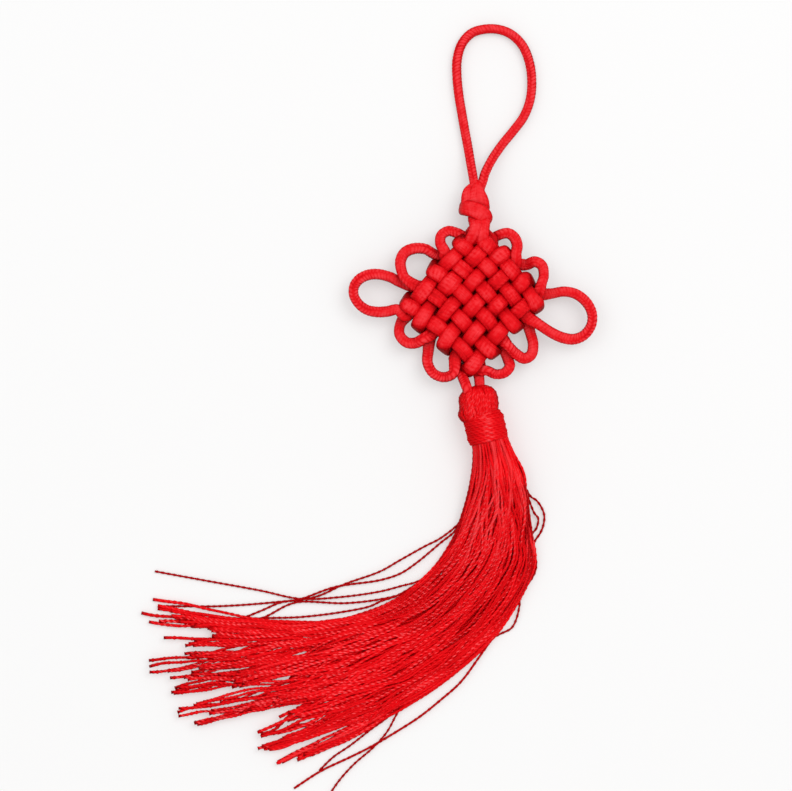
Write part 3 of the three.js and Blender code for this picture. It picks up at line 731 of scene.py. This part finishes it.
def strandSurface(paths, random, size=1.0, gain=1.0, tautTill=0.0):
    # two plies side by side make an oval, turning once in every twist: its long half axis is at
    # start + 2 pi length / twist; near the neck a tassel's strand is taut and nearly round, and it
    # opens a little towards its cut end; the shade is gain x (crest - crestMean), a painted highlight
    # on the plies' crests where they face up, with crest = |cos angle|^3 x upward^2, less the side shade
    # x (1 - upward)^2, painted shade on the strand's sides and underside, and less the tone of the cut end
    lengths = pathLengths(paths)
    left = lengths[:, -1:] - lengths
    slack = ease(lengths / tautTill)[:, :, None] if tautTill else 1.0
    opening = strand["flare"] * ease(1 - left / strand["flareOver"]) if tautTill else 0.0 * left
    flare = size * (1 + opening[:, :, None])
    start = random.uniform(0, fullTurn, (len(paths), 1))
    turn = (start + fullTurn * lengths / strand["twist"])[:, :, None]
    angle = ringAngles(strand["sides"])
    long, short = (flare * (taut + (loose - taut) * slack)
                   for taut, loose in zip(strand["tautHalf"], strand["half"]))
    wide, tall = long * np.cos(angle), short * np.sin(angle)
    frames = levelFrames(paths)
    surface = tubeSurface(paths, frames, wide * np.cos(turn) - tall * np.sin(turn),
                          wide * np.sin(turn) + tall * np.cos(turn), lengths)
    upward = np.clip(np.sin(turn + angle) * frames[1][:, :, 2:], 0, 1)
    crest = np.abs(np.cos(angle)) ** 3 * upward ** 2
    darker = [strand["cutTone"], strand["endTone"]] if tautTill else [strand["cutTone"]]
    end = sum(tone * np.clip(1 - left / over, 0, 1) for tone, over in darker)[:, :, None]
    return surface, gain * slack * (crest - strand["crestMean"]) - strand["edge"] * (1 - upward) ** 2 - end


def makeStrands():
    # the tone follows the station, is lighter in the upper layers, with painted shade on the lower ones,
    # differs from strand to strand and drifts slowly along each; the strands are shared out between three
    # pieces
    random = np.random.default_rng(tassel["seed"])
    paths, level, stations = strandPaths(random)
    strands = len(paths)
    tone = np.interp(stations, *zip(*tones)) + tassel["levelShade"] * level
    tone += random.normal(0, tassel["toneSpread"], (strands, 1))
    tone += wave(pathLengths(paths), *tassel["toneWave"], random.uniform(*anyPhase, (strands, 1)))
    tone = np.maximum(tone, tassel["toneFloor"])
    least, more, power = tassel["gain"]
    gain = least + more * random.uniform(0, 1, (strands, 1, 1)) ** power
    for number, group in enumerate(np.array_split(random.permutation(strands), tassel["pieces"])):
        surface, crests = strandSurface(paths[group], random, 1.0, gain[group], tassel["tautTill"])
        buildPiece("tassel_strands_" + str(number + 1), surface, tone[group][:, :, None] + crests,
                   yarnMaterial, "tassel")


# Below the top strands the bundle is solid: a ridged body that follows the middle of the guides; it stands
# for the lower strands, and its dark tone is painted shade under the top ones
filling = {
    "shares": (0.24, 0.88), "from": -0.8, "until": 7.2, "closesOver": 1.6, "neckThickness": 3.4,
    "samples": 80, "sides": 240, "fill": 0.28, "ridges": 60, "ridge": 0.14, "tone": (0.15, 0.12),
}


def makeFilling():
    # a flattened ring at every station: reach = half the gap between the points of its two shares,
    # thickness = fill x pile, both eased to nothing at the end, plus ridge x cos(ridges x angle)
    stations = np.linspace(filling["from"], filling["until"], filling["samples"])
    inner, outer = (guidePoint(np.full(len(stations), share), stations) for share in filling["shares"])
    shrink = np.sqrt(ease((filling["until"] - stations) / filling["closesOver"]))
    sink = sinking(stations)
    thickness = filling["neckThickness"] * (1 - sink) + pileHeight(stations) * filling["fill"] * sink
    thickness = thickness * shrink
    reach = np.linalg.norm(outer - inner, axis=1) / 2 * shrink
    height = head["height"] * (1 - sink) + (thickness + tassel["rest"]) * sink
    path = np.column_stack([(inner + outer) / 2, height])[None]
    angle = ringAngles(filling["sides"])
    ridges = np.cos(filling["ridges"] * angle)
    ridged = filling["ridge"] * ridges * shrink[None, :, None]
    surface = tubeSurface(path, levelFrames(path), (reach[None, :, None] + ridged) * np.cos(angle),
                          (thickness[None, :, None] + ridged) * np.sin(angle), pathLengths(path))
    # the ridges' tops are lighter and their grooves darker, painted highlight and shade; the low mean is
    # painted shade
    mean, swing = filling["tone"]
    shade = mean + swing * ridges + np.zeros((1, filling["samples"], 1))
    buildPiece("tassel_filling", surface, shade, yarnMaterial, "tassel")


makeStrands()
makeFilling()
print("stage: tassel strands")

# Single strands beside the bundle: the share and station where each leaves it and its route, and for
# some the share, first and last station of its way back in the bundle
strays = [
    (0.0, 3.3, [[-12.2, -65.0], [-16.8, -66.4], [-21.4, -67.6], [-30.6, -68.9],
     [-39.8, -69.3], [-49.0, -67.4], [-62.8, -64.9], [-73.2, -63.0]]),
    (0.02, 1.9, [[-3.4, -52.0], [-7.6, -55.4], [-11.1, -57.2], [-16.8, -60.4],
     [-21.4, -63.0], [-29.5, -65.9], [-36.4, -68.9], [-45.6, -70.1], [-58.2, -71.0], [-72.0, -71.0]]),
    (0.0, 2.0, [[-4.0, -53.4], [-7.6, -56.5], [-13.4, -61.3], [-16.8, -63.5],
     [-21.4, -65.0], [-31.8, -66.6], [-39.8, -69.4], [-44.4, -70.2], [-48.6, -72.0], [-56.0, -75.0]]),
    (0.01, 3.4, [[-12.2, -66.2], [-16.8, -68.3], [-21.4, -69.4], [-29.5, -70.3],
     [-39.8, -70.0], [-42.8, -70.8], [-47.9, -73.5], [-57.0, -76.5]]),
    (0.02, 3.6, [[-16.8, -68.2], [-21.4, -69.9], [-23.7, -71.0], [-30.6, -72.4],
     [-39.8, -73.5], [-52.0, -74.0], [-63.0, -76.0]]),
    (1.0, 1.2, [[13.3, -45.9], [14.4, -46.6], [15.6, -48.2], [16.3, -50.1],
     [16.1, -52.4], [15.4, -54.2], [14.2, -56.0]], (0.96, 2.7, 6.6)),
    (0.98, 1.5, [[14.0, -49.6], [14.9, -50.8], [14.5, -53.1], [13.1, -54.9]], (0.93, 2.6, 6.2)),
    (0.97, 2.1, [[13.5, -57.0], [14.4, -60.4], [14.3, -62.7], [13.2, -65.0],
     [11.5, -67.1]], (0.97, 3.9, 6.4)),
    (0.98, 3.2, [[10.8, -67.3], [10.6, -70.8], [9.8, -74.2], [8.7, -76.1],
     [6.2, -77.4]], (0.95, 4.8, 7.2)),
    (0.98, 4.6, [[1.1, -83.0], [-3.0, -88.5], [-7.6, -92.6], [-12.2, -96.3],
     [-16.8, -99.3], [-23.7, -103.4], [-28.3, -105.7], [-35.2, -109.0], [-41.2, -112.9]]),
    (0.9, 6.1, [[-17.5, -95.6], [-19.6, -99.5], [-21.4, -101.8], [-23.7, -104.1],
     [-27.2, -107.1], [-30.6, -110.8], [-33.4, -114.8]]),
    (0.93, 6.5, [[-20.0, -96.7], [-23.3, -99.1], [-28.3, -103.0],
     [-32.2, -105.7], [-35.4, -108.8]]),
]


strayLook = {
    "rowEvery": 0.7, "edgeHeight": 1.2, "drop": (1.0, 0.32), "backHeight": 1.0,
    "size": 0.86, "gain": 0.4, "tone": -0.22,
}


def strayRows(share, leaves, route, back=None):
    # along the guides on top of the bundle's edge, then down its own route on the table
    before = np.arange(-1, leaves, strayLook["rowEvery"])
    start = guidePoint(np.full(len(before), share), before)
    fall = ease(before / leaves)
    rows = [[x, y, head["height"] * (1 - f) + strayLook["edgeHeight"] * f]
            for (x, y), f in zip(start, fall)]
    drop = np.linspace(*strayLook["drop"], len(route))
    rows += [[x, y, z] for (x, y), z in zip(route, drop)]
    if back:
        after = np.arange(*back[1:], strayLook["rowEvery"])
        rows += [[x, y, strayLook["backHeight"]] for x, y in guidePoint(np.full(len(after), back[0]), after)]
    return rows


def makeStrays():
    random = np.random.default_rng(tassel["seed"] + 1)
    paths = evenPaths([strayRows(*stray) for stray in strays], tassel["samples"])[0]
    surface, crests = strandSurface(paths, random, strayLook["size"], strayLook["gain"])
    buildPiece("stray_strands", surface, crests + strayLook["tone"], yarnMaterial, "tassel")


makeStrays()
print("stage: stray strands")

# The tassel's head: a core with yarn folded over it, drawn in under the binding; it leans to the
# left above the binding and one fold of the yarn bulges out there
dome = {
    "radius": 4.4, "cap": 3.0, "corner": 2.4, "foot": 5.4, "footOver": 1.0, "neckRadius": 4.1,
    "aside": 0.25, "asideFrom": 6.0, "asideOver": 2.0,
    "fold": 0.95, "foldAt": 5.9, "foldSpan": 1.5, "foldTurn": 0.62,
    "waist": 0.35, "waistAt": 6.0, "waistSpan": 1.3,
}
headYarn = {
    "threads": 94, "samples": 44, "half": 0.3, "size": 1.15, "gain": 0.4, "seed": 3,
    "from": 0.05, "past": 2.2, "crowding": 1.4, "spread": 0.03, "lean": 0.07, "leans": (-1.2, 1.0),
    # the side values below paint shade on the dome's two sides
    "sway": (0.05, 1.3), "depth": 0.06, "tone": 0.30, "toneSpread": 0.06, "edge": 0.45, "edgePower": 6,
}
headCore = {
    "sides": 40, "capSteps": 14, "capFrom": 0.3, "capDepth": 3.0, "capAngle": 0.1,
    "shaft": (3.4, 12.6, 20), "narrowsTo": 13.4, "narrowsOver": 3.0, "narrowest": 0.6, "clearance": 0.1,
    "tone": 0.3,
}


def domeRadius(along):
    # R (1 - (1 - along / cap)^n)^(1 / n) over the cap, then R, then eased to the neck's radius
    rise = np.clip(1 - along / dome["cap"], 0, 1)
    cap = dome["radius"] * (1 - rise ** dome["corner"]) ** (1 / dome["corner"])
    return cap - (dome["radius"] - dome["neckRadius"]) * ease((along - dome["foot"]) / dome["footOver"])


def domeReach(along, turn):
    # the radius, moved aside to the left above the binding, plus the fold on the left and less the
    # waist on the right, both bell curves along the axis
    upper = 1 - ease((along - dome["asideFrom"]) / dome["asideOver"])
    fold = dome["fold"] * np.exp(-((turn - math.pi) / dome["foldTurn"]) ** 2
                                 - ((along - dome["foldAt"]) / dome["foldSpan"]) ** 2)
    waist = np.exp(-((along - dome["waistAt"]) / dome["waistSpan"]) ** 2)
    waist = dome["waist"] * np.clip(np.cos(turn), 0, 1) * waist
    return domeRadius(along) - dome["aside"] * np.cos(turn) * upper + fold - waist


def aroundHead(along, reach, turn):
    # headTop + along x axis + reach x (cos(turn) x side + sin(turn) x up)
    return (headTop + headAxis * along[..., None] + headSide * (reach * np.cos(turn))[..., None]
            + headUp * (reach * np.sin(turn))[..., None])


def makeHead():
    # threads from the top down over the dome: each has its own turn round the axis, leans and
    # sways a little, and lies at the dome's reach less its half thickness; painted shade darkens both sides,
    # where the dome turns away from the top
    random = np.random.default_rng(headYarn["seed"])
    threads = headYarn["threads"]
    share = np.linspace(0, 1, headYarn["samples"]) ** headYarn["crowding"]
    along = headYarn["from"] + (dome["foot"] + headYarn["past"]) * share
    spread = np.linspace(0, fullTurn, threads, endpoint=False)
    spread = spread + random.normal(0, headYarn["spread"], threads)
    leans = np.linspace(*headYarn["leans"], len(along))[None, :]
    lean = random.normal(0, headYarn["lean"], (threads, 1)) * leans
    size, rate = headYarn["sway"]
    sway = size * np.sin(along[None, :] * rate + random.uniform(*anyPhase, (threads, 1)))
    turn = spread[:, None] + lean + sway
    radius = domeReach(along[None, :], turn) - headYarn["half"]
    radius = radius + random.normal(0, headYarn["depth"], (threads, 1))
    paths = aroundHead(along[None, :], radius, turn)
    paths[:, :, 2] = np.maximum(paths[:, :, 2], headYarn["half"])
    surface, crests = strandSurface(paths, random, headYarn["size"], headYarn["gain"])
    # painted shade on the dome's sides
    tone = headYarn["tone"] - headYarn["edge"] * np.abs(np.cos(turn)) ** headYarn["edgePower"]
    tone = tone + random.normal(0, headYarn["toneSpread"], (threads, 1))
    buildPiece("head_yarn", surface, tone[:, :, None] + crests, yarnMaterial, "tassel")


def makeHeadCore():
    # rings round the head's axis at the dome's reach, just under the threads, and narrower
    # towards the end in the bundle; the rings crowd together at the top of the cap
    opening = np.cos(np.linspace(headCore["capAngle"], math.pi / 2, headCore["capSteps"]))
    along = np.concatenate([headCore["capFrom"] + headCore["capDepth"] * (1 - opening),
                            np.linspace(*headCore["shaft"])])
    angle = ringAngles(headCore["sides"])
    radius = domeReach(along[:, None], angle[None, :]) - headYarn["half"]
    narrowing = (headCore["narrowsTo"] - along) / headCore["narrowsOver"]
    radius *= np.clip(narrowing, headCore["narrowest"], 1)[:, None]
    path = (headTop + headAxis * along[:, None])[None]
    standing = np.minimum(radius, head["height"] - headCore["clearance"])
    surface = tubeSurface(path, levelFrames(path), (radius * np.cos(angle))[None],
                          (standing * np.sin(angle))[None], pathLengths(path))
    buildPiece("head_core", surface, np.full(len(surface[0]), headCore["tone"]), yarnMaterial,
               "tassel")


makeHead()
makeHeadCore()
print("stage: tassel head")

# The binding: thread wound round the neck, with a few looser turns across it; its turns have a
# painted highlight in a zigzag column right of the middle and painted shade on the left
binding = {
    "perTurn": 90, "half": 0.42, "taper": 0.45, "taperTurns": 2, "lastTaper": 6.0, "wobble": (0.08, 2.3),
    "gain": 0.3, "seed": 11, "tone": 0.27,
    # the column values set the painted highlight, the left values the painted shade
    "column": 0.32, "columnAt": 0.08, "columnHalf": 0.16, "zigzag": 0.16,
    "leftShade": 0.14, "leftFrom": -0.4, "leftRate": 1.6,
    "windings": [
        {"name": "binding_turns", "turns": 12, "start": head["bindingFrom"] - 0.6,
         "finish": head["bindingTo"] - 0.1, "radius": 4.2, "uneven": 0.1, "size": 1.3},
        {"name": "binding_top_turns", "turns": 3, "start": head["bindingTo"] - 0.8,
         "finish": head["bindingFrom"] + 0.4, "radius": 4.3, "uneven": 0.5, "size": 1.0},
    ],
}


def windingPath(row, random):
    # a helix round the head's axis: along = start + (finish - start) share + uneven sin(turn),
    # reach = radius + a small wobble, less a taper over the first two turns and over the last
    turns = row["turns"]
    share = np.linspace(0, 1, int(turns * binding["perTurn"]))
    turn = fullTurn * turns * share
    along = row["start"] + (row["finish"] - row["start"]) * share
    along = along + row["uneven"] * np.sin(turn + random.uniform(*anyPhase))
    size, rate = binding["wobble"]
    reach = row["radius"] + size * np.sin(rate * turn + random.uniform(*anyPhase))
    opening = 1 - ease(turn / (fullTurn * binding["taperTurns"]))
    closing = ease((turn - turn[-1]) / binding["lastTaper"] + 1)
    reach -= binding["taper"] * (opening + closing)
    path = aroundHead(along, reach, turn)
    path[:, 2] = np.maximum(path[:, 2], binding["half"])
    return path, turn


def makeBinding():
    random = np.random.default_rng(binding["seed"])
    paths = [windingPath(row, random) for row in binding["windings"]]
    for row, (path, turn) in zip(binding["windings"], paths):
        surface, crests = strandSurface(path[None], random, row["size"], binding["gain"])
        # a painted highlight in a column on the turns' upper side, zigzagging from turn to turn, and painted
        # shade on the left
        centre = binding["columnAt"] + binding["zigzag"] * np.cos(turn / 2)
        column = np.exp(-((np.cos(turn) - centre) / binding["columnHalf"]) ** 2) * (np.sin(turn) > 0)
        left = ease(binding["leftFrom"] - binding["leftRate"] * np.cos(turn))
        tone = binding["tone"] + binding["column"] * column - binding["leftShade"] * left
        buildPiece(row["name"], surface, tone[None, :, None] + crests, threadMaterial,
                   "neck_binding")


makeBinding()
print("stage: binding")

# Table and light
studio = {
    "table": 3000.0, "tableColour": (0.535, 0.532, 0.53), "tableRoughness": 0.8, "tableSpecular": 0.1,
    "glow": 0.4, "world": 0.70, "aim": (0, -20, 0),
    "lights": [
        {"name": "key_softbox", "place": (560, 430, 1250), "size": 1000, "power": 7.6},
        {"name": "left_softbox", "place": (-760, 300, 1150), "size": 1000, "power": 2.8},
    ],
}


def makeTable():
    half = studio["table"] * millimetre / 2
    mesh = bpy.data.meshes.new("table_top")
    corners = [(-half, -half, 0), (half, -half, 0), (half, half, 0), (-half, half, 0)]
    mesh.from_pydata(corners, [], [(0, 1, 2, 3)])
    material, nodes, links, shader = nodeMaterial("white table")
    shader.inputs["Base Color"].default_value = (*studio["tableColour"], 1)
    shader.inputs["Roughness"].default_value = studio["tableRoughness"]
    shader.inputs["Specular IOR Level"].default_value = studio["tableSpecular"]
    shader.inputs["Emission Color"].default_value = white
    shader.inputs["Emission Strength"].default_value = studio["glow"]
    mesh.materials.append(material)
    addObject("table_top", mesh)


def makeLights():
    world = bpy.data.worlds.new("studio")
    world.use_nodes = True
    sky = world.node_tree.nodes["Background"].inputs
    sky["Color"].default_value = white
    sky["Strength"].default_value = studio["world"]
    bpy.context.scene.world = world
    target = Vector(toFrame(studio["aim"]))
    for row in studio["lights"]:
        light = bpy.data.lights.new(row["name"], "AREA")
        light.size = row["size"] * millimetre
        light.energy = row["power"]
        lamp = addObject(row["name"], light)
        lamp.location = toFrame(row["place"])
        lamp.rotation_euler = (target - Vector(lamp.location)).to_track_quat("-Z", "Y").to_euler()
    bpy.context.scene.view_settings.view_transform = "Standard"


makeTable()
makeLights()
print("stage: table and light")
